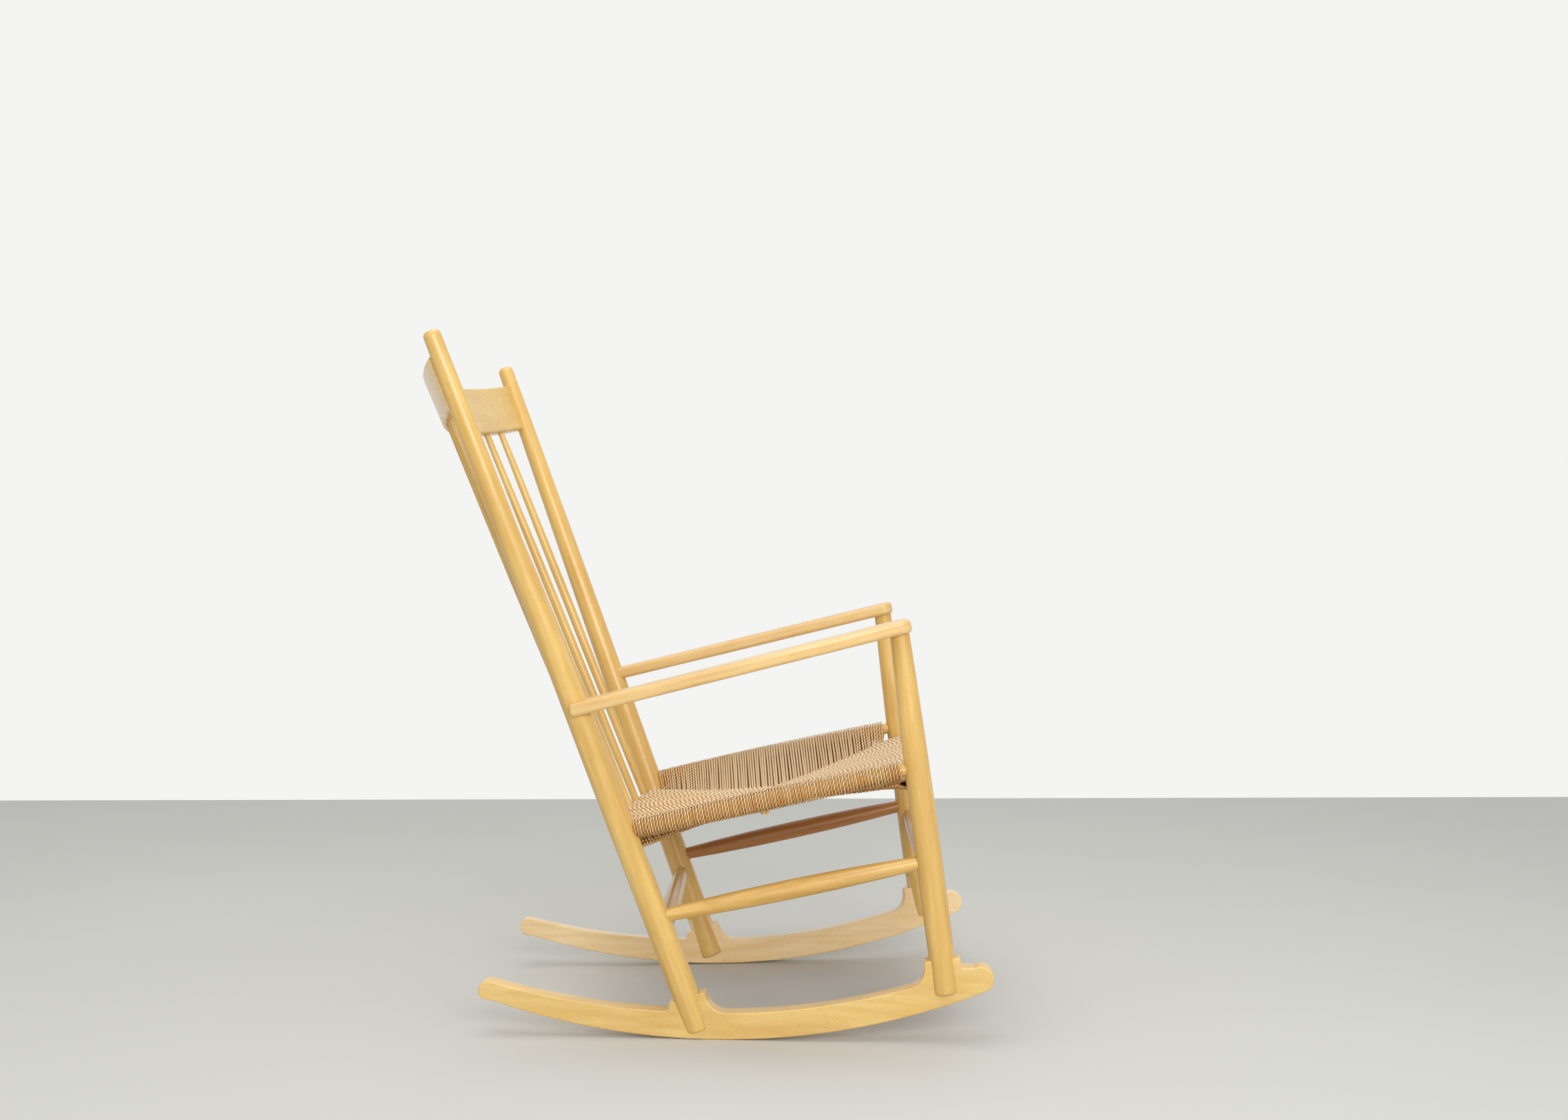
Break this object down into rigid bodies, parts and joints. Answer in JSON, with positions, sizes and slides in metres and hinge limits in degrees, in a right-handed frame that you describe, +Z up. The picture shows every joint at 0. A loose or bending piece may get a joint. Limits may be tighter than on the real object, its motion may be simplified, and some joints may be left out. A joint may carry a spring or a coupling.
{
  "type": "rocking chair",
  "caption": "High spindle-back rocking chair with turned posts on sawn rockers, flat arms, a bent crest rail and a woven paper cord seat.",
  "frame": {"origin": "middle of the chair's footprint, at floor level", "axes": "+X towards the sitter's left, +Y towards the back of the chair, +Z up"},
  "size_m": [0.6958, 0.8794, 1.0618],
  "materials": {
    "beech": "satin",
    "paper_cord": "matte",
    "dowel": "satin",
    "brad": "satin"
  },
  "bodies": {
    "root": {"rocker_left": "beech", "rocker_right": "beech", "back_post_left": "beech", "back_post_right": "beech", "front_post_left": "beech", "front_post_right": "beech", "arm_left": "beech", "arm_right": "beech", "crest_rail": "beech", "spindle_1": "beech", "spindle_2": "beech", "spindle_3": "beech", "spindle_4": "beech", "spindle_5": "beech", "spindle_6": "beech", "spindle_7": "beech", "spindle_8": "beech", "seat_rail_front": "beech", "seat_rail_rear": "beech", "seat_rail_left": "beech", "seat_rail_right": "beech", "stretcher_front": "beech", "stretcher_rear": "beech", "stretcher_left": "beech", "stretcher_right": "beech", "cord_seat": "paper_cord", "cord_knot": "paper_cord", "rocker_pins": "dowel", "arm_brads": "brad"}
  },
  "joints": []
}
